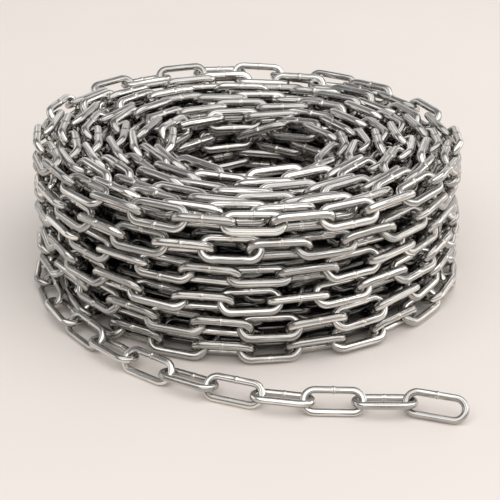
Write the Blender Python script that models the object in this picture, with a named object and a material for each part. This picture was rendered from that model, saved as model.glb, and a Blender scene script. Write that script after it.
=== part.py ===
"""A coil of long-link welded steel chain with a free tail, lying on a level floor.

Metres, +Z up, front towards -Y. The coil is six courses high and six rings wide round an open bore.
Each course is one solid: a plain core where its inner turns are hidden, with the links that show standing
out of it. One strand winds through all of them, so each ring's links start a little further round. The
tail's links are separate, each through the eye of the next.
"""

import math

import bmesh
import bpy
from mathutils import Matrix, Vector

MM = 0.001

# The chain: round wire bent to a long link, welded in the middle of one side.
WIRE = 5 * MM
INNER_LENGTH = 35 * MM
LINK_WIDTH = 20 * MM
CROWN_RADIUS = (LINK_WIDTH - WIRE) / 2
STRAIGHT = INNER_LENGTH + WIRE - 2 * CROWN_RADIUS
TOUCH_GAP = 0.3 * MM
PITCH = INNER_LENGTH - 3 * TOUCH_GAP
ROLL = math.radians(45)
LINK_REACH = CROWN_RADIUS * math.cos(ROLL) + WIRE / 2

# The coil: rings of chain side by side, courses of rings one on another.
COURSES = 6
RINGS = 6
OUTER_RING = 159 * MM
RING_STEP = 18.4 * MM
COURSE_STEP = 20 * MM
FIRST_COURSE_HEIGHT = LINK_REACH + 0.1 * MM
RING_RADII = [OUTER_RING - RING_STEP * ring for ring in range(RINGS)]
INNER_RING = RING_RADII[-1]
TURN_DRIFT = math.radians(3)
CLIMB_DRIFT = math.radians(8)

# The coil has settled: its top dips towards the bore and towards the back, and its right is a little flat.
DISH = 9 * MM
BACK_DIP = 8 * MM
BACK_DIP_ANGLE = math.radians(70)
FLAT_SIDE = 8 * MM
FLAT_SIDE_ANGLE = math.radians(35)
LEVELLING = math.radians(38)

# The core stands in for the hidden turns. Its edges run along the middle of the far rails of the strands that
# show, so that the eyes of those links stay open in front of it.
PLATE_HALF_THICKNESS = WIRE / 2 * math.sin(math.radians(45))
PLATE_HALF_WIDTH = CROWN_RADIUS + PLATE_HALF_THICKNESS
CORE_OUTER = OUTER_RING - CROWN_RADIUS * math.cos(ROLL)
CORE_INNER = INNER_RING + CROWN_RADIUS * math.cos(ROLL)
TOP_BED_DEPTH = 3.6 * MM
CORE_SIDES = 24
OPEN_RELIEF_RADIUS = 100 * MM
RELIEF_STEPS = 2
RELIEF_SIDES = 4

# Where the tail leaves the bottom course, that course's outer strand is left off the core. The link that
# holds the tail is fused to the core, and takes its roll from its place in the line of links.
TAIL_EXIT = math.radians(187.3)
EXIT_LINKS_LEFT_OFF = 3
EXIT_CUT_ANGLE = math.radians(195.3)
EXIT_CUT_DISTANCE = 147.5 * MM
EXIT_CUT_DEPTH = 40 * MM
EXIT_CUT_LENGTH = 160 * MM
TAIL_LINKS = 12
HOLDER_INDEX = (TAIL_LINKS + 1) % 2
TAIL_STEPS = 6
TAIL_SIDES = 6
TAIL_ROUTE = [
    Vector((-158, -50)) * MM,
    Vector((-141, -97)) * MM,
    Vector((-112.5, -139)) * MM,
    Vector((-72, -178)) * MM,
    Vector((-25, -205)) * MM,
    Vector((25, -221)) * MM,
    Vector((80, -224)) * MM,
    Vector((106, -224)) * MM,
    Vector((124, -228.5)) * MM,
    Vector((160, -243)) * MM,
]
ROUTE_STEPS = 40
HALVINGS = 30


def clear_scene():
    for obj in list(bpy.data.objects):
        bpy.data.objects.remove(obj, do_unlink=True)


def bright_steel():
    material = bpy.data.materials.new("bright_steel")
    material.use_nodes = True
    shader = material.node_tree.nodes["Principled BSDF"]
    shader.inputs["Base Color"].default_value = (0.56, 0.55, 0.53, 1)
    shader.inputs["Metallic"].default_value = 1.0
    shader.inputs["Roughness"].default_value = 0.3
    return material


def new_object(name, bm, material):
    """Turns a bmesh, whose faces already look outward, into a named object."""
    mesh = bpy.data.meshes.new(name)
    bm.to_mesh(mesh)
    bm.free()
    mesh.materials.append(material)
    obj = bpy.data.objects.new(name, mesh)
    bpy.context.scene.collection.objects.link(obj)
    return obj


def stadium(steps, straight=STRAIGHT, radius=CROWN_RADIUS):
    """Points of a long loop in its own plane, X along it, with steps edges round each end."""
    points = []
    for side in (1, -1):
        for step in range(steps + 1):
            angle = math.pi * (step / steps - 0.5)
            x = straight / 2 + radius * math.cos(angle)
            points.append(Vector((side * x, side * radius * math.sin(angle), 0)))
    return points


def add_link(bm, place, steps, sides):
    """Sweeps the round wire along the link's centre line and closes the loop."""
    line = stadium(steps)
    rings = []
    for index, point in enumerate(line):
        ahead = (line[(index + 1) % len(line)] - point).normalized()
        behind = (point - line[index - 1]).normalized()
        along = (ahead + behind).normalized()
        outward = along.cross(Vector((0, 0, 1)))
        widen = 1 / along.dot(ahead)
        ring = []
        for side in range(sides):
            angle = 2 * math.pi * (side + 0.5) / sides
            offset = outward * (math.cos(angle) * widen) + Vector((0, 0, math.sin(angle)))
            ring.append(bm.verts.new(place @ (point + offset * (WIRE / 2))))
        rings.append(ring)
    for index, ring in enumerate(rings):
        following = rings[(index + 1) % len(rings)]
        for side in range(sides):
            nxt = (side + 1) % sides
            bm.faces.new((ring[side], following[side], following[nxt], ring[nxt]))


def add_edge_link(bm, place, steps):
    """A link that turns its eye away from view: a plate with its outline, up to the next links' wire."""
    outline = stadium(steps, INNER_LENGTH - 2 * PLATE_HALF_WIDTH, PLATE_HALF_WIDTH)
    layers = []
    for height in (-PLATE_HALF_THICKNESS, PLATE_HALF_THICKNESS):
        layers.append([bm.verts.new(place @ (point + Vector((0, 0, height)))) for point in outline])
    bm.faces.new(reversed(layers[0]))
    bm.faces.new(layers[1])
    for index in range(len(outline)):
        nxt = (index + 1) % len(outline)
        bm.faces.new((layers[0][index], layers[0][nxt], layers[1][nxt], layers[1][index]))


def link_place(first, last, roll):
    """Puts a link midway between two joints, along the line from the first to the last, rolled about it."""
    along = last - first
    heading = math.atan2(along.y, along.x)
    climb = math.asin(along.z / along.length)
    turn = Matrix.Rotation(heading, 4, "Z") @ Matrix.Rotation(-climb, 4, "Y")
    return Matrix.Translation((first + last) / 2) @ turn @ Matrix.Rotation(roll, 4, "X")


def links_round(radius):
    """The least even number of links that reaches round a ring."""
    return 2 * math.ceil(math.pi * radius / PITCH)


def ring_start(course, ring):
    """Where a ring's links start. The strand goes in through one course and out through the next."""
    turn = course * RINGS + (ring if course % 2 == 0 else RINGS - 1 - ring)
    first = TAIL_EXIT + 2 * math.pi * HOLDER_INDEX / links_round(OUTER_RING)
    return first - TURN_DRIFT * turn - CLIMB_DRIFT * course


def settled(radius, angle, height):
    """A point of the coil, given before it settled, moved to where it lies."""
    outward = (radius - INNER_RING) / (OUTER_RING - INNER_RING)
    dip = DISH * (1 - outward) + BACK_DIP * max(0, math.cos(angle - BACK_DIP_ANGLE))
    height -= dip * max(0, height - FIRST_COURSE_HEIGHT) / (COURSE_STEP * (COURSES - 1))
    radius -= FLAT_SIDE * outward * max(0, math.cos(angle - FLAT_SIDE_ANGLE)) ** 2
    return Vector((radius * math.cos(angle), radius * math.sin(angle), height))


def ring_link_place(radius, height, angle, roll):
    """Puts a link between two joints of its ring."""
    half_step = math.pi / links_round(radius)
    joint_radius = radius / math.cos(half_step)
    first = settled(joint_radius, angle - half_step, height)
    last = settled(joint_radius, angle + half_step, height)
    return link_place(first, last, roll)


def ring_link_roll(course, ring, angle, odd):
    """Links on the coil's side lean one way and the other. On its top, every other one lies nearly level."""
    roll = ROLL if odd else -ROLL
    if course == COURSES - 1 and ring > 0:
        levelled = max(0, -math.sin(angle)) if odd else max(0, math.sin(angle))
        roll -= math.copysign(LEVELLING, roll) * levelled
    return roll


def add_strand(open_links, edge_links, course, ring, indexes):
    """One ring of links: those that show their eye go to one mesh, those seen on edge to the other."""
    radius = RING_RADII[ring]
    height = FIRST_COURSE_HEIGHT + COURSE_STEP * course
    for index in indexes:
        angle = ring_start(course, ring) - 2 * math.pi * (index + 0.5) / links_round(radius)
        odd = index % 2 == 1
        place = ring_link_place(radius, height, angle, ring_link_roll(course, ring, angle, odd))
        if not odd:
            add_edge_link(edge_links, place, RELIEF_STEPS)
        elif radius > OPEN_RELIEF_RADIUS:
            add_link(open_links, place, RELIEF_STEPS, RELIEF_SIDES)
        else:
            add_edge_link(open_links, place, RELIEF_STEPS)


def core_profile(course, height):
    """The core's section as (radius, height) corners, from the bore's bottom corner round to its top."""
    bottom = height - COURSE_STEP / 2 + TOUCH_GAP / 2 if course else 0
    top = height + COURSE_STEP / 2 - TOUCH_GAP / 2
    if course == COURSES - 1:
        top = height - TOP_BED_DEPTH
    return [(CORE_INNER, bottom), (CORE_OUTER, bottom), (CORE_OUTER, top), (CORE_INNER, top)]


def add_core(bm, profile):
    """Turns the core's section about the coil's axis. Its faces are cut alike from course to course."""
    columns = []
    for side in range(CORE_SIDES):
        turn = 2 * math.pi * side / CORE_SIDES
        columns.append([bm.verts.new(settled(radius, turn, height)) for radius, height in profile])
    for side, column in enumerate(columns):
        following = columns[(side + 1) % CORE_SIDES]
        for corner in range(len(profile)):
            nxt = (corner + 1) % len(profile)
            face = [column[corner], following[corner], following[nxt], column[nxt]]
            if profile[nxt][0] < profile[corner][0]:
                face = face[1:] + face[:1]
            bm.faces.new(face[:3])
            bm.faces.new((face[0], face[2], face[3]))


def boolean(obj, helper, operation):
    helper.hide_render = True
    helper.display_type = "WIRE"
    helper.parent = obj.parent
    modifier = obj.modifiers.new(helper.name, "BOOLEAN")
    modifier.operation = operation
    modifier.object = helper


def exit_cutter(material):
    """A block outside the core's edge, where the tail lies in the outer strand's place."""
    bm = bmesh.new()
    size = Vector((EXIT_CUT_DEPTH, EXIT_CUT_LENGTH, 2 * COURSE_STEP))
    shift = Vector((EXIT_CUT_DISTANCE + size.x / 2, 0, FIRST_COURSE_HEIGHT))
    place = Matrix.Rotation(EXIT_CUT_ANGLE, 4, "Z") @ Matrix.Translation(shift)
    bmesh.ops.create_cube(bm, size=1, matrix=place @ Matrix.Diagonal((*size, 1)))
    return new_object("cut_tail_exit", bm, material)


def build_course(course, material, parent):
    """One layer of the coil as one solid."""
    height = FIRST_COURSE_HEIGHT + COURSE_STEP * course
    core = bmesh.new()
    add_core(core, core_profile(course, height))
    solid = new_object(f"course_{course + 1}", core, material)
    solid.parent = parent

    open_links = bmesh.new()
    edge_links = bmesh.new()
    for ring, radius in enumerate(RING_RADII):
        count = links_round(radius)
        if course == 0 and ring == 0:
            indexes = range(HOLDER_INDEX + 1, HOLDER_INDEX + count - EXIT_LINKS_LEFT_OFF)
            add_strand(open_links, edge_links, course, ring, indexes)
        elif course == COURSES - 1 or ring in (0, RINGS - 1):
            add_strand(open_links, edge_links, course, ring, range(count))
    helpers = [
        new_object(f"open_links_{course + 1}", open_links, material),
        new_object(f"edge_links_{course + 1}", edge_links, material),
    ]
    if course == 0:
        boolean(solid, exit_cutter(material), "DIFFERENCE")
        holder = bmesh.new()
        holder_angle = TAIL_EXIT - math.pi / links_round(OUTER_RING)
        place = ring_link_place(OUTER_RING, height, holder_angle, ROLL if HOLDER_INDEX else -ROLL)
        add_link(holder, place, TAIL_STEPS, TAIL_SIDES)
        helpers.append(new_object("tail_holder_link", holder, material))
    for helper in helpers:
        boolean(solid, helper, "UNION")


def smooth_route(points):
    """Reads a smooth curve through the route's points."""
    padded = [points[0] * 2 - points[1]] + points + [points[-1] * 2 - points[-2]]
    line = []
    for index in range(1, len(padded) - 2):
        a, b, c, d = padded[index - 1 : index + 3]
        for step in range(ROUTE_STEPS):
            t = step / ROUTE_STEPS
            square = (2 * a - 5 * b + 4 * c - d) * t**2
            cube = (3 * b - a - 3 * c + d) * t**3
            line.append(0.5 * (2 * b + (c - a) * t + square + cube))
    line.append(points[-1])
    return line


def step_along(line, start, count):
    """Walks the route in straight steps of one pitch, and gives the points between links."""
    joints = [start]
    at = 0
    while len(joints) <= count:
        while (line[at + 1] - joints[-1]).length < PITCH:
            at += 1
        near, far = line[at], line[at + 1]
        low, high = 0.0, 1.0
        for _ in range(HALVINGS):
            middle = (low + high) / 2
            if (near.lerp(far, middle) - joints[-1]).length < PITCH:
                low = middle
            else:
                high = middle
        joints.append(near.lerp(far, high))
    return joints


def build_tail(material, parent):
    """The free end: separate links, each through the next, rolled to lie on the floor on two edges."""
    half_turn = math.pi / links_round(OUTER_RING)
    holder = Vector((math.cos(TAIL_EXIT - half_turn), math.sin(TAIL_EXIT - half_turn))) * OUTER_RING
    heading = TAIL_EXIT - half_turn + math.pi / 2
    start = holder + Vector((math.cos(heading), math.sin(heading))) * ((PITCH - TOUCH_GAP) / 2)
    joints = step_along(smooth_route([start] + TAIL_ROUTE), start, TAIL_LINKS)
    for index in range(TAIL_LINKS):
        first, last = [Vector((joint.x, joint.y, FIRST_COURSE_HEIGHT)) for joint in joints[index : index + 2]]
        number = TAIL_LINKS - index
        bm = bmesh.new()
        add_link(bm, Matrix.Identity(4), TAIL_STEPS, TAIL_SIDES)
        link = new_object(f"tail_link_{number:02d}", bm, material)
        link.parent = parent
        link.matrix_local = link_place(first, last, ROLL if number % 2 else -ROLL)


def centre_on_floor(parent):
    """Moves everything so that the middle of the chain's box on the floor is the origin."""
    bpy.context.view_layer.update()
    graph = bpy.context.evaluated_depsgraph_get()
    points = []
    for obj in parent.children:
        if not obj.hide_render:
            solid = obj.evaluated_get(graph)
            points += [solid.matrix_world @ vertex.co for vertex in solid.data.vertices]
    for axis in range(2):
        values = [point[axis] for point in points]
        parent.location[axis] = -(min(values) + max(values)) / 2
    bpy.context.view_layer.update()


def main():
    clear_scene()
    material = bright_steel()
    parent = bpy.data.objects.new("chain", None)
    bpy.context.scene.collection.objects.link(parent)
    for course in range(COURSES):
        build_course(course, material, parent)
    build_tail(material, parent)
    centre_on_floor(parent)


main()
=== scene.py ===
import math

import bpy
import numpy as np
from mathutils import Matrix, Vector


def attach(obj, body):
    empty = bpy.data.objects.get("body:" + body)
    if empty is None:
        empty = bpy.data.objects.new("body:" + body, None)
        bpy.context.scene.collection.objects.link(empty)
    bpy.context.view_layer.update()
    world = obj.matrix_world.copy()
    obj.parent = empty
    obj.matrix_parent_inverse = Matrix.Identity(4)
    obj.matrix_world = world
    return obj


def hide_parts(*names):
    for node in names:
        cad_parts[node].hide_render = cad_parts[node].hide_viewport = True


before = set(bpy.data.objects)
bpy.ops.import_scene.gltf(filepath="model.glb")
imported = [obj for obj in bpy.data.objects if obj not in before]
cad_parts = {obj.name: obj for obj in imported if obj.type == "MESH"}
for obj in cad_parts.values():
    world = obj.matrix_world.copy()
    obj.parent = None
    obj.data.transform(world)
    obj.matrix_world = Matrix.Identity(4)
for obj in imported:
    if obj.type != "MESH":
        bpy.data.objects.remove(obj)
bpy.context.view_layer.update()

MM = 0.001

# The chain's steel. Each link is bright drawn wire: it keeps fine lines along its length from the drawing
# die, with duller and brighter streaks between them, and the heat of its weld has left a faint straw tint
# beside it. The fine lines' grooves are painted dark as painted shade, the weld bead carries a painted
# highlight, and links buried in the coil are painted darker as painted shade for the coil's dark inside.
STEEL_BRIGHT = (0.96, 0.935, 0.90, 1)
STEEL_DULL = (0.44, 0.428, 0.41, 1)
# Painted shade in the die grooves along the wire.
GROOVE_SHADE_COLOUR = (0.08, 0.076, 0.07, 1)
STEEL_JOINT = (0.16, 0.15, 0.14, 1)
# Painted shade: the dark grey that links hidden inside the coil are pulled towards.
STEEL_PAINTED_SHADE = (0.14, 0.135, 0.13, 1)
WELD_STRAW = (0.47, 0.41, 0.33, 1)

STREAK_LENGTH = 70 * MM
STREAK_WIDTH = 1.9 * MM
DIE_LINE_WIDTH = 0.8 * MM
PATCH_SIZE = 9 * MM
STRAW_REACH = 5 * MM
BEAD_REACH = 1.8 * MM
JOINT_REACH = 0.45 * MM
GROOVE_SHARE = 0.045
STREAK_EDGES = (0.45, 0.55)
DIE_LINE_EDGES = (0.42, 0.58)
STRAW_EDGES = (0.35, 0.6)
ROUGH_STREAK_EDGES = (0.3, 0.7)
ROUGH_PATCH_EDGES = (0.35, 0.7)
TONE_SHIFT = 40
TONE_SEED = 11

STREAK_DULLING = 0.75
DIE_LINE_DULLING = 0.5
TONE_DULLING = 0.15
GROOVE_PAINTED_SHADE = 0.6
STRAW_TINTING = 0.45
# How strongly the weld bead is painted brighter: a painted highlight.
BEAD_PAINTED_HIGHLIGHT = 0.6
JOINT_DARKENING = 0.8

LEAST_ROUGHNESS = 0.11
STREAK_ROUGHNESS = 0.1
PATCH_ROUGHNESS = 0.06
TONE_ROUGHNESS = 0.05

RELIEF_DEPTH = 0.10 * MM
STREAK_RELIEF = 0.7
DIE_LINE_RELIEF = 0.6
PATCH_RELIEF = 0.05
GROOVE_RELIEF = 0.25


class Shade:
    """A value that changes over a surface. Sums of such values add the nodes that work them out."""

    def __init__(self, tree, socket=None):
        self.tree = tree
        self.socket = socket

    def node(self, kind, settings, sockets, output=0):
        """Adds one node: its settings first, then its sockets, each a value or a link."""
        made = self.tree.nodes.new(kind)
        for name, value in settings.items():
            setattr(made, name, value)
        for name, value in sockets.items():
            if isinstance(value, Shade):
                self.tree.links.new(value.socket, made.inputs[name])
            else:
                made.inputs[name].default_value = value
        return Shade(self.tree, made.outputs[output] if made.outputs else None)

    def maths(self, operation, first, second=0.0, clamp=False):
        """Adds one Math node."""
        settings = {"operation": operation, "use_clamp": clamp}
        return self.node("ShaderNodeMath", settings, {0: first, 1: second})

    def __add__(self, other):
        return self.maths("ADD", self, other)

    def __sub__(self, other):
        return self.maths("SUBTRACT", self, other)

    def __rsub__(self, other):
        return self.maths("SUBTRACT", other, self)

    def __mul__(self, other):
        return self.maths("MULTIPLY", self, other)

    def __truediv__(self, other):
        return self.maths("DIVIDE", self, other)

    def __rtruediv__(self, other):
        return self.maths("DIVIDE", other, self)

    __radd__ = __add__
    __rmul__ = __mul__

    def held(self):
        """The value, kept between 0 and 1."""
        return self.maths("ADD", self, 0.0, clamp=True)

    def spread(self, low, high):
        """0 at low, 1 at high, and straight between."""
        return ((self - low) / (high - low)).held()

    def blend(self, colour_at_0, colour_at_1):
        """A colour that goes from one to the other as the value goes from 0 to 1."""
        sockets = {"Factor": self, 6: colour_at_0, 7: colour_at_1}
        return self.node("ShaderNodeMix", {"data_type": "RGBA"}, sockets, 2)


def drawn_steel():
    """Bright drawn wire. Its pattern follows wire_place: metres along the wire from the weld, then across."""
    material = bpy.data.materials.new("drawn_steel")
    material.use_nodes = True
    tree = material.node_tree
    tree.nodes.clear()
    start = Shade(tree)
    place = start.node("ShaderNodeAttribute", {"attribute_name": "wire_place"}, {}, "Vector")
    tone_and_shade = start.node("ShaderNodeAttribute", {"attribute_name": "link_tone_and_shade"}, {}, "Fac")

    along, across, rise = (start.node("ShaderNodeSeparateXYZ", {}, {0: place}, axis) for axis in "XYZ")
    from_weld = start.maths("ABSOLUTE", along)
    both_ways = start.node("ShaderNodeCombineXYZ", {}, {"X": from_weld, "Y": across, "Z": rise})

    def wire_noise(length, width, detail, shift):
        """A pattern that is drawn out along the wire, the same on both ways round from the weld."""
        size = (1 / length, 1 / width, 1 / width)
        spot = start.node("ShaderNodeVectorMath", {"operation": "MULTIPLY"}, {0: both_ways, 1: size})
        sockets = {"Vector": spot, "W": tone_and_shade * TONE_SHIFT + shift, "Scale": 1.0, "Detail": detail}
        return start.node("ShaderNodeTexNoise", {"noise_dimensions": "4D"}, sockets)

    streaks = wire_noise(STREAK_LENGTH, STREAK_WIDTH, detail=2.0, shift=0.0)
    die_lines = wire_noise(STREAK_LENGTH, DIE_LINE_WIDTH, detail=2.0, shift=5.0)
    patches = wire_noise(PATCH_SIZE, PATCH_SIZE / 3, detail=3.0, shift=11.0)
    straw = 1 - (from_weld / STRAW_REACH).held()
    # Where the painted highlight on the weld bead falls.
    painted_highlight_at_bead = 1 - (from_weld / BEAD_REACH).held()
    joint = 1 - (from_weld / JOINT_REACH).held()
    # Links hidden in the coil carry a tone below zero, which pulls their colour to a dark grey: painted
    # shade.
    painted_shade = (tone_and_shade * -1).held()
    grooves = 1 - (start.maths("ABSOLUTE", streaks - 0.5) / GROOVE_SHARE).held()

    streak_dulling = streaks.spread(*STREAK_EDGES) * STREAK_DULLING
    die_line_dulling = die_lines.spread(*DIE_LINE_EDGES) * DIE_LINE_DULLING
    colour = (streak_dulling + die_line_dulling).held().blend(STEEL_BRIGHT, STEEL_DULL)
    colour = (tone_and_shade.held() * TONE_DULLING).blend(colour, STEEL_DULL)
    # The die grooves are painted nearly black: painted shade in them, beside their relief in the bump.
    colour = (grooves * GROOVE_PAINTED_SHADE).blend(colour, GROOVE_SHADE_COLOUR)
    colour = (straw * patches.spread(*STRAW_EDGES) * STRAW_TINTING).blend(colour, WELD_STRAW)
    # The weld bead is painted brighter: a painted highlight on its ridge.
    colour = (painted_highlight_at_bead * BEAD_PAINTED_HIGHLIGHT).blend(colour, STEEL_BRIGHT)
    colour = (joint * JOINT_DARKENING).blend(colour, STEEL_JOINT)
    # Painted shade on the links hidden inside the coil.
    colour = painted_shade.blend(colour, STEEL_PAINTED_SHADE)

    streak_roughness = streaks.spread(*ROUGH_STREAK_EDGES) * STREAK_ROUGHNESS
    patch_roughness = patches.spread(*ROUGH_PATCH_EDGES) * PATCH_ROUGHNESS
    tone_roughness = tone_and_shade.held() * TONE_ROUGHNESS
    roughness = (streak_roughness + patch_roughness + tone_roughness + LEAST_ROUGHNESS).held()

    height = streaks * STREAK_RELIEF + die_lines * DIE_LINE_RELIEF + patches * PATCH_RELIEF
    height = height - grooves * GROOVE_RELIEF
    normal = start.node("ShaderNodeBump", {}, {"Strength": 1.0, "Distance": RELIEF_DEPTH, "Height": height})

    look = {"Base Color": colour, "Metallic": 1.0, "Roughness": roughness, "Normal": normal}
    surface = start.node("ShaderNodeBsdfPrincipled", {}, look)
    start.node("ShaderNodeOutputMaterial", {}, {"Surface": surface})
    return material


STEEL = drawn_steel()

# A link. Round wire is bent to a long loop and its ends are butt welded in the middle of one side, which
# leaves a low bead with a dark line at the joint.
WIRE = 5 * MM
INNER_LENGTH = 35 * MM
LINK_WIDTH = 20 * MM
BEAD_SWELL = 0.12
BEAD_WIDTH = 1.0 * MM
BEAD_STATIONS = np.array([0.35, 0.8, 1.3, 2.0]) * MM
CLOSING_GAP = 0.1 * MM


class LinkShape:
    """One link's mesh in its own plane: points, faces, and where each point is on the straight wire."""

    def __init__(self, crown_steps, sides, wire, width, inner_length, beaded=True):
        self.crown_radius = (width - wire) / 2
        self.half_side = (inner_length + wire) / 2 - self.crown_radius
        self.half_crown = math.pi * self.crown_radius
        along = self.stations(crown_steps, beaded)
        middle, out = self.loop_point(along)
        swell = 1 + BEAD_SWELL * np.exp(-((along / BEAD_WIDTH) ** 2)) * beaded
        angles = 2 * math.pi * (np.arange(sides) + 0.5) / sides
        radius = wire / 2
        offset = out[:, None, :] * np.cos(angles)[None, :, None]
        offset = offset + np.array([0, 0, 1.0]) * np.sin(angles)[None, :, None]
        points = middle[:, None, :] + offset * (radius * swell)[:, None, None]
        place = np.zeros_like(points)
        place[:, :, 0] = along[:, None]
        place[:, :, 1] = radius * np.cos(angles)
        place[:, :, 2] = radius * np.sin(angles)
        self.points = points.reshape(-1, 3)
        self.place = place.reshape(-1, 3)
        ring, side = np.meshgrid(np.arange(len(along)), np.arange(sides), indexing="ij")
        next_ring = (ring + 1) % len(along)
        next_side = (side + 1) % sides
        corners = [
            ring * sides + side,
            ring * sides + next_side,
            next_ring * sides + next_side,
            next_ring * sides + side,
        ]
        self.faces = np.stack(corners, -1).reshape(-1, 4)

    def stations(self, crown_steps, beaded):
        """Distances along the wire from the weld where the link's mesh has a ring of points."""
        crown = self.half_side + np.linspace(0, self.half_crown, crown_steps + 1)
        half_loop = 2 * self.half_side + self.half_crown
        near_end = [half_loop - self.half_side / 2]
        end = [half_loop - CLOSING_GAP]
        if not beaded:
            half = np.concatenate([crown, end])
            return np.concatenate([-half[::-1], half])
        half = np.concatenate([BEAD_STATIONS, [self.half_side / 2], crown, near_end, end])
        return np.concatenate([-half[::-1], [0.0], half])

    def loop_point(self, along):
        """The wire's middle line at a distance from the weld, and the way out from the loop there."""
        away = np.abs(along)
        turn = np.clip((away - self.half_side) / self.crown_radius, 0, math.pi)
        straight = np.minimum(away, self.half_side) - np.maximum(away - self.half_side - self.half_crown, 0)
        out_x = np.sin(turn) * np.sign(along)
        out_y = np.cos(turn)
        x = straight * np.sign(along) + self.crown_radius * out_x
        y = self.crown_radius * out_y
        return np.stack([x, y, 0 * x], 1), np.stack([out_x, out_y, 0 * x], 1)


def link_axes(first, last, lean):
    """A link's axes: along the strand, towards its inner side, which the lean lifts, and its normal."""
    along = (last - first) / np.linalg.norm(last - first)
    inward = np.cross(along, (0, 0, 1))
    inward /= np.linalg.norm(inward)
    up = np.cross(inward, along)
    across = inward * math.cos(lean) + up * math.sin(lean)
    return np.stack([along, across, np.cross(along, across)], 1)


def chain_piece(name, shapes, links):
    """Joins links into one piece. Each link is a shape's name, a centre, axes and a tone; a tone below zero
    is painted shade.
    """
    points, place, tones_and_shades, faces = [], [], [], []
    count = 0
    for shape_name, centre, axes, tone_and_shade in links:
        shape = shapes[shape_name]
        points.append(shape.points @ axes.T + centre)
        place.append(shape.place)
        tones_and_shades.append(np.full(len(shape.points), tone_and_shade))
        faces.append(shape.faces + count)
        count += len(shape.points)
    points, place, tones_and_shades, faces = map(np.concatenate, (points, place, tones_and_shades, faces))
    mesh = bpy.data.meshes.new(name)
    mesh.vertices.add(len(points))
    mesh.vertices.foreach_set("co", points.astype(np.float32).ravel())
    mesh.loops.add(faces.size)
    mesh.loops.foreach_set("vertex_index", faces.astype(np.int32).ravel())
    mesh.polygons.add(len(faces))
    mesh.polygons.foreach_set("loop_start", np.arange(0, faces.size, 4, dtype=np.int32))
    mesh.polygons.foreach_set("use_smooth", np.ones(len(faces), bool))
    mesh.update(calc_edges=True)
    wire_place = mesh.attributes.new("wire_place", "FLOAT_VECTOR", "POINT")
    wire_place.data.foreach_set("vector", place.astype(np.float32).ravel())
    link_tone_and_shade = mesh.attributes.new("link_tone_and_shade", "FLOAT", "POINT")
    link_tone_and_shade.data.foreach_set("value", tones_and_shades.astype(np.float32))
    mesh.materials.append(STEEL)
    piece = bpy.data.objects.new(name, mesh)
    bpy.context.scene.collection.objects.link(piece)
    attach(piece, "root")
    return piece


# The free end: twelve links that leave the coil's bottom course on the left and lie across the floor in
# front. Every second one lies nearly flat, and those between stand on a slant.
COIL_AXIS = np.array([2.6, 38.08, 0]) * MM
SLACK = 0.9 * MM
PITCH = INNER_LENGTH - SLACK
LEAST_PITCH = PITCH - SLACK / 3
OUTER_RING = 159 * MM
TAIL_HEIGHT = 8.1 * MM
TAIL_LINKS = 12
TAIL_EXIT = math.radians(187.3)
TAIL_LEAN = math.radians(18)
TAIL_APART = math.radians(30)
HOLDER_TURN = math.radians(6)
ROUTE_STEPS = 40
HALVINGS = 30
TAIL_ROUTE = np.array([
    (-158, -50),
    (-141, -97),
    (-112.5, -139),
    (-72, -178),
    (-25, -205),
    (25, -221),
    (80, -224),
    (106, -224),
    (124, -228.5),
    (160, -243),
]) * MM


def smooth_route(points):
    """Reads a smooth curve through the points."""
    padded = np.concatenate([[points[0] * 2 - points[1]], points, [points[-1] * 2 - points[-2]]])
    line = []
    for a, b, c, d in zip(padded, padded[1:], padded[2:], padded[3:]):
        for t in np.arange(ROUTE_STEPS) / ROUTE_STEPS:
            square = (2 * a - 5 * b + 4 * c - d) * t**2
            cube = (3 * b - a - 3 * c + d) * t**3
            line.append(0.5 * (2 * b + (c - a) * t + square + cube))
    return np.array(line + [points[-1]])


def step_along(line, start, most):
    """Walks a line in straight steps of one pitch, and gives the points between links."""
    joints = [start]
    at = 0
    while len(joints) <= most:
        while at < len(line) - 1 and np.linalg.norm(line[at + 1] - joints[-1]) < PITCH:
            at += 1
        if at == len(line) - 1:
            break
        near, far = line[at], line[at + 1]
        low, high = 0.0, 1.0
        for _ in range(HALVINGS):
            middle = (low + high) / 2
            if np.linalg.norm(near + (far - near) * middle - joints[-1]) < PITCH:
                low = middle
            else:
                high = middle
        joints.append(near + (far - near) * high)
    return np.array(joints)


def tail_lean(odd):
    """How far a link of the free end leans from level. Odd ones slant, and the others lie nearly flat."""
    return TAIL_LEAN + (TAIL_APART if odd else -TAIL_APART)


holder_angle = TAIL_EXIT - HOLDER_TURN
holder_centre = OUTER_RING * np.array([math.cos(holder_angle), math.sin(holder_angle)])
holder_ahead = np.array([-math.sin(holder_angle), math.cos(holder_angle)])
tail_start = holder_centre + holder_ahead * LEAST_PITCH / 2
tail_line = smooth_route(np.concatenate([[tail_start], TAIL_ROUTE]))
tail_joints = step_along(tail_line, tail_start, TAIL_LINKS)[::-1]
tail_joints = np.column_stack([tail_joints, np.full(len(tail_joints), TAIL_HEIGHT)])

tone_draws = np.random.default_rng(TONE_SEED)
tail_wire = {"wire": WIRE, "width": LINK_WIDTH, "inner_length": INNER_LENGTH}
tail_shapes = {"tail": LinkShape(crown_steps=18, sides=24, **tail_wire)}
for number in range(1, TAIL_LINKS + 1):
    first, last = tail_joints[number - 1], tail_joints[number]
    centre = (first + last) / 2 + COIL_AXIS
    link = ("tail", centre, link_axes(first, last, tail_lean(number % 2)), tone_draws.random())
    piece = chain_piece(f"free_link_{number:02d}", tail_shapes, [link])
    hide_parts(f"tail_link_{number:02d}")

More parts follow.
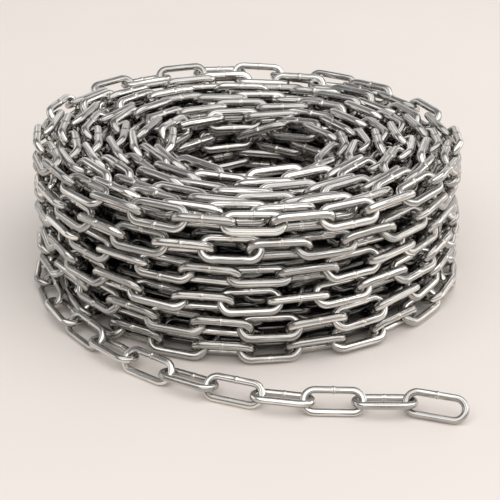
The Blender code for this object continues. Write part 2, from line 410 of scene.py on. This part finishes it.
# The coil. The same strand winds clockwise, seen from above: in from the outer ring to the bore in the
# bottom course, up, out again in the next, and so on for six courses, and each course bears on the one
# below. Rings count from 0 outside to 5 at the bore, courses from 0 at the floor.
RINGS = 6
COURSES = 6
RING_STEP = 18.4 * MM
COURSE_STEP = 19.75 * MM
BOTTOM_COURSE = 9.3 * MM
SHIFT_LEAD = math.radians(9)
SHIFT_WIDTH = math.radians(46)
TURN_DRIFT = math.radians(3)
CLIMB_DRIFT = math.radians(8)
AZIMUTH_STEP = math.radians(0.25)
LATE_START = 2
SETTLE_LINKS = 4

# How far the strand strays from even rings, and the coil from an even round shape.
WINDING_SEED = 5
SHORTEST_WAVE = 90
LONGEST_WAVE = 420
WANDER_WAVES = 9
WANDER_OUT = 1.0 * MM
WANDER_UP = 0.8 * MM
BOTTOM_WANDER = 0.3
OVAL = 1.0 * MM
OVAL_LOBES = (1, 2, 3)
DISH = 9 * MM
BACK_DIP = 8 * MM
BACK_DIP_SIDE = math.radians(70)
FLAT_SIDE = 8 * MM
FLAT_SIDE_MIDDLE = math.radians(35)

# How links lean from level: those of the outer wall, and those of the bed inside it and on top.
LEAN_SIDE = math.radians(-1)
LEAN_SWING = math.radians(18)
LEAN_APART = math.radians(32)
FRONT_APART = math.radians(14)
BED_LEAN = math.radians(45)
BED_LEVELLING = math.radians(5)
LEAN_WAVES = 12
LEAN_WANDER = math.radians(13)
LEAN_SCATTER = math.radians(8)
MOST_SCATTER = 2
STEEPEST_LEAN = math.radians(62)
WELD_OUTSIDE_SHARE = 0.5

# The coil's links look heavier than the free end's, and most of all those on the top and round the bore.
COIL_WIRE = 6.0 * MM
COIL_LINK_WIDTH = 20.6 * MM
COIL_INNER_LENGTH = 35.2 * MM
HEAVY_WIRE = 6.7 * MM
HEAVY_LINK_WIDTH = 21.4 * MM
WALL_RING = 0.6
BORE_RING = RINGS - 1.6
HEAVY_TOP_RING = 0.5
DEEP_FROM_RING = 1.6
DEEP_TO_RING = RINGS - 2.6
# Painted shade for the links hidden in the coil, deepest in the middle rings: a tone below zero darkens a
# link.
GAP_PAINTED_SHADE = -0.85
DEEP_PAINTED_SHADE = -1


def links_round(ring):
    """The least even number of links that reaches round a ring."""
    return 2 * math.ceil(math.pi * (OUTER_RING - RING_STEP * ring) / LEAST_PITCH)


def joint_radius(ring):
    """Where the strand's joints lie, so that the middles of its links lie on the ring."""
    return (OUTER_RING - RING_STEP * ring) / math.cos(math.pi / links_round(ring))


def wander(random, length, waves, reach):
    """A smooth seeded drift along the strand, mostly within reach either way."""
    total = np.zeros(len(length))
    for _ in range(waves):
        wave = random.uniform(SHORTEST_WAVE, LONGEST_WAVE) * MM
        total += np.sin(2 * math.pi * (length / wave + random.random()))
    return total * reach / math.sqrt(waves)


# The strand's turns in their order, and where each starts. The first turn's links start two links late, past
# the one that holds the free end.
turns = []
for course in range(COURSES):
    rings = range(RINGS) if course % 2 == 0 else reversed(range(RINGS))
    turns += [(course, ring) for ring in rings]
turn_starts = [TAIL_EXIT + 2 * math.pi / links_round(0)]
for course, ring in turns:
    last_ring = RINGS - 1 if course % 2 == 0 else 0
    full_turn = 2 * math.pi + TURN_DRIFT + CLIMB_DRIFT * (ring == last_ring)
    turn_starts.append(turn_starts[-1] - full_turn)

winding_draws = np.random.default_rng(WINDING_SEED)
azimuth = np.arange(holder_angle - HOLDER_TURN, turn_starts[-1] - AZIMUTH_STEP, -AZIMUTH_STEP)
radius = np.full(len(azimuth), joint_radius(turns[0][1]))
height = np.full(len(azimuth), BOTTOM_COURSE)
ring_at = np.full(len(azimuth), float(turns[0][1]))
course_at = np.zeros(len(azimuth))
for start, (old_course, old_ring), (new_course, new_ring) in zip(turn_starts[1:], turns, turns[1:]):
    passed = np.clip((start + SHIFT_LEAD + SHIFT_WIDTH / 2 - azimuth) / SHIFT_WIDTH, 0, 1)
    passed = passed * passed * (3 - 2 * passed)
    radius += (joint_radius(new_ring) - joint_radius(old_ring)) * passed
    height += COURSE_STEP * (new_course - old_course) * passed
    ring_at += (new_ring - old_ring) * passed
    course_at += (new_course - old_course) * passed
travelled = np.concatenate([[0], np.cumsum(radius[1:] * AZIMUTH_STEP)])
settle = np.clip(travelled / (SETTLE_LINKS * PITCH), 0, 1)
radius += settle * wander(winding_draws, travelled, WANDER_WAVES, WANDER_OUT)
up_wander = settle * wander(winding_draws, travelled, WANDER_WAVES, WANDER_UP)
height += up_wander * np.clip(course_at, BOTTOM_WANDER, 1)
for lobes in OVAL_LOBES:
    for course in range(COURSES):
        share = np.clip(1 - np.abs(course_at - course), 0, 1)
        lobe_turn = winding_draws.uniform(0, 2 * math.pi)
        radius += settle * share * OVAL / lobes * np.cos(lobes * azimuth + lobe_turn)
outward = (RINGS - 1 - ring_at) / (RINGS - 1)
dip = DISH * (1 - outward) + BACK_DIP * np.maximum(0, np.cos(azimuth - BACK_DIP_SIDE))
height -= dip * np.maximum(0, height - BOTTOM_COURSE) / (COURSE_STEP * (COURSES - 1))
radius -= FLAT_SIDE * outward * np.maximum(0, np.cos(azimuth - FLAT_SIDE_MIDDLE)) ** 2
height += (1 - settle) * (TAIL_HEIGHT - BOTTOM_COURSE)
coil_line = np.stack([radius * np.cos(azimuth), radius * np.sin(azimuth), height], 1)
travelled = np.concatenate([[0], np.cumsum(np.linalg.norm(np.diff(coil_line, axis=0), axis=1))])

turn_marks = np.interp([-start for start in turn_starts], -azimuth, travelled)
joint_marks = []
for turn, (_, ring) in enumerate(turns):
    steps = links_round(ring) - (LATE_START if turn == 0 else 0)
    joint_marks.append(np.linspace(turn_marks[turn], turn_marks[turn + 1], steps, endpoint=False))
joint_marks = np.append(np.concatenate(joint_marks), turn_marks[-1])
coil_joints = np.stack([np.interp(joint_marks, travelled, coil_line[:, axis]) for axis in range(3)], 1)
coil_joints = np.concatenate([tail_joints[-1:], coil_joints])
coil_count = len(coil_joints) - 1
link_marks = joint_marks - PITCH / 2
link_rings = np.interp(link_marks, travelled, ring_at)
link_courses = np.interp(link_marks, travelled, course_at)
lean_drift = wander(winding_draws, np.arange(coil_count) * PITCH, LEAN_WAVES, LEAN_WANDER)
lean_scatter = winding_draws.normal(0, 1, coil_count).clip(-MOST_SCATTER, MOST_SCATTER) * LEAN_SCATTER
weld_outside = winding_draws.random(coil_count) < WELD_OUTSIDE_SHARE


def coil_lean(index, rear):
    """How a link of the coil leans. rear goes from -1 at the coil's front to 1 at its back."""
    odd = (TAIL_LINKS + 1 + index) % 2
    front = 0.5 - 0.5 * rear
    apart = LEAN_APART + FRONT_APART * front
    wall_lean = LEAN_SIDE - LEAN_SWING * max(0, rear) + (apart if odd else -apart)
    if odd:
        bed_lean = BED_LEAN - BED_LEVELLING * max(0, -rear)
    else:
        bed_lean = BED_LEVELLING * max(0, rear) - BED_LEAN
    top = max(0, link_courses[index] - (COURSES - 2))
    bed = max(min(link_rings[index], 1), top * front)
    lean = wall_lean * (1 - bed) + bed_lean * bed + lean_drift[index] + lean_scatter[index]
    settled = min(index / SETTLE_LINKS, 1)
    lean = tail_lean(odd) * (1 - settled) + lean * settled
    return max(-STEEPEST_LEAN, min(STEEPEST_LEAN, lean))


coil_wire = {"wire": COIL_WIRE, "width": COIL_LINK_WIDTH, "inner_length": COIL_INNER_LENGTH}
heavy_wire = {"wire": HEAVY_WIRE, "width": HEAVY_LINK_WIDTH, "inner_length": COIL_INNER_LENGTH}
coil_shapes = {
    "heavy": LinkShape(crown_steps=12, sides=16, **heavy_wire),
    "shown": LinkShape(crown_steps=12, sides=16, **coil_wire),
    "hidden": LinkShape(crown_steps=6, sides=8, beaded=False, **coil_wire),
}
coil_links = [[] for _ in range(COURSES)]
for index in range(coil_count):
    first, last = coil_joints[index], coil_joints[index + 1]
    centre = (first + last) / 2
    lean = coil_lean(index, centre[1] / math.hypot(centre[0], centre[1]))
    bead_reach = HEAVY_WIRE / 2 * (1 + BEAD_SWELL)
    reach_down = (HEAVY_LINK_WIDTH - HEAVY_WIRE) / 2 * abs(math.sin(lean)) + bead_reach
    centre[2] = max(centre[2], reach_down)
    ring = link_rings[index]
    course = round(link_courses[index])
    on_top = course == COURSES - 1
    if on_top or ring < WALL_RING or ring > BORE_RING:
        shape = "heavy" if ring > (HEAVY_TOP_RING if on_top else BORE_RING) else "shown"
        tone_and_shade = tone_draws.random()
    else:
        shape = "hidden"
        # Hidden links get painted shade in place of a random tone.
        tone_and_shade = DEEP_PAINTED_SHADE if DEEP_FROM_RING < ring < DEEP_TO_RING else GAP_PAINTED_SHADE
    axes = link_axes(first, last, lean + math.pi * weld_outside[index])
    coil_links[course].append((shape, centre + COIL_AXIS, axes, tone_and_shade))
for course in range(COURSES):
    piece = chain_piece(f"coil_course_{course + 1}", coil_shapes, coil_links[course])
    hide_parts(f"course_{course + 1}")

# The floor: a plain painted board in a warm pale grey, slightly uneven in its tone, and wide enough that its
# edge never shows.
FLOOR_SIZE = 8
FLOOR_PALE = (0.84, 0.783, 0.737, 1)
FLOOR_SHADE = (0.81, 0.753, 0.706, 1)
FLOOR_ROUGHNESS = 0.75
MOTTLE_SCALE = 3.0
MOTTLE_EDGES = (0.3, 0.7)

half = FLOOR_SIZE / 2
floor_corners = [(-half, -half, 0), (half, -half, 0), (half, half, 0), (-half, half, 0)]
floor_mesh = bpy.data.meshes.new("floor")
floor_mesh.from_pydata(floor_corners, [], [(0, 1, 2, 3)])
floor = bpy.data.objects.new("floor", floor_mesh)
bpy.context.scene.collection.objects.link(floor)
paint = bpy.data.materials.new("pale_floor")
paint.use_nodes = True
paint.node_tree.nodes.clear()
floor_start = Shade(paint.node_tree)
spot = floor_start.node("ShaderNodeNewGeometry", {}, {}, "Position")
mottle = floor_start.node("ShaderNodeTexNoise", {}, {"Vector": spot, "Scale": MOTTLE_SCALE, "Detail": 2.0})
floor_look = {
    "Base Color": mottle.spread(*MOTTLE_EDGES).blend(FLOOR_PALE, FLOOR_SHADE),
    "Roughness": FLOOR_ROUGHNESS,
}
painted = floor_start.node("ShaderNodeBsdfPrincipled", {}, floor_look)
floor_start.node("ShaderNodeOutputMaterial", {}, {"Surface": painted})
floor_mesh.materials.append(paint)

# The light: a large soft box overhead and slightly in front, a long low one behind, a dim one on the left and
# a stronger one on the right, and a little light from all round.
ROOM_LIGHT = (0.96, 0.97, 0.985, 1)
ROOM_STRENGTH = 0.3
AIM_HEIGHT = 0.05
coil_middle = Vector(COIL_AXIS) + Vector((0, 0, AIM_HEIGHT))


def soft_box(name, place, size, power, colour):
    """A rectangular light that faces the middle of the coil."""
    lamp = bpy.data.lights.new(name, "AREA")
    lamp.shape = "RECTANGLE"
    lamp.size, lamp.size_y = size
    lamp.energy = power
    lamp.color = colour
    box = bpy.data.objects.new(name, lamp)
    box.location = place
    box.rotation_mode = "QUATERNION"
    box.rotation_quaternion = (coil_middle - Vector(place)).to_track_quat("-Z", "Y")
    bpy.context.scene.collection.objects.link(box)


soft_box("overhead_light", (0.5, -1.1, 2.5), size=(6.4, 5.0), power=136, colour=(1, 0.985, 0.965))
soft_box("back_light", (0.3, 3.0, 1.0), size=(6.0, 1.8), power=21, colour=(1, 0.97, 0.94))
soft_box("left_light", (-3.0, 0.6, 0.9), size=(3.0, 1.6), power=12, colour=(1, 0.98, 0.96))
soft_box("right_light", (3.0, 0.6, 0.9), size=(3.0, 1.6), power=28, colour=(1, 0.98, 0.96))
world = bpy.data.worlds.new("studio")
world.use_nodes = True
room = world.node_tree.nodes["Background"]
room.inputs["Color"].default_value = ROOM_LIGHT
room.inputs["Strength"].default_value = ROOM_STRENGTH
bpy.context.scene.world = world
bpy.context.scene.view_settings.view_transform = "Standard"

# The camera: a long lens in front of the coil, looking down on it, with its picture shifted so that the coil
# stands a little above the middle and the free end has room below.
VIEW_RISE = math.radians(25)
AIM_ABOVE_MIDDLE = 0.095
VIEW_DISTANCE = 1.15
FOCAL_PIXELS = 1450
PICTURE_PIXELS = 500
SENSOR_WIDTH = 36

camera_data = bpy.data.cameras.new("camera")
camera_data.sensor_width = SENSOR_WIDTH
camera_data.lens = SENSOR_WIDTH * FOCAL_PIXELS / PICTURE_PIXELS
camera_data.shift_y = -AIM_ABOVE_MIDDLE
camera = bpy.data.objects.new("camera", camera_data)
camera.location = coil_middle + Vector((0, -math.cos(VIEW_RISE), math.sin(VIEW_RISE))) * VIEW_DISTANCE
camera.rotation_euler = (math.pi / 2 - VIEW_RISE, 0, 0)
bpy.context.scene.collection.objects.link(camera)
bpy.context.scene.camera = camera
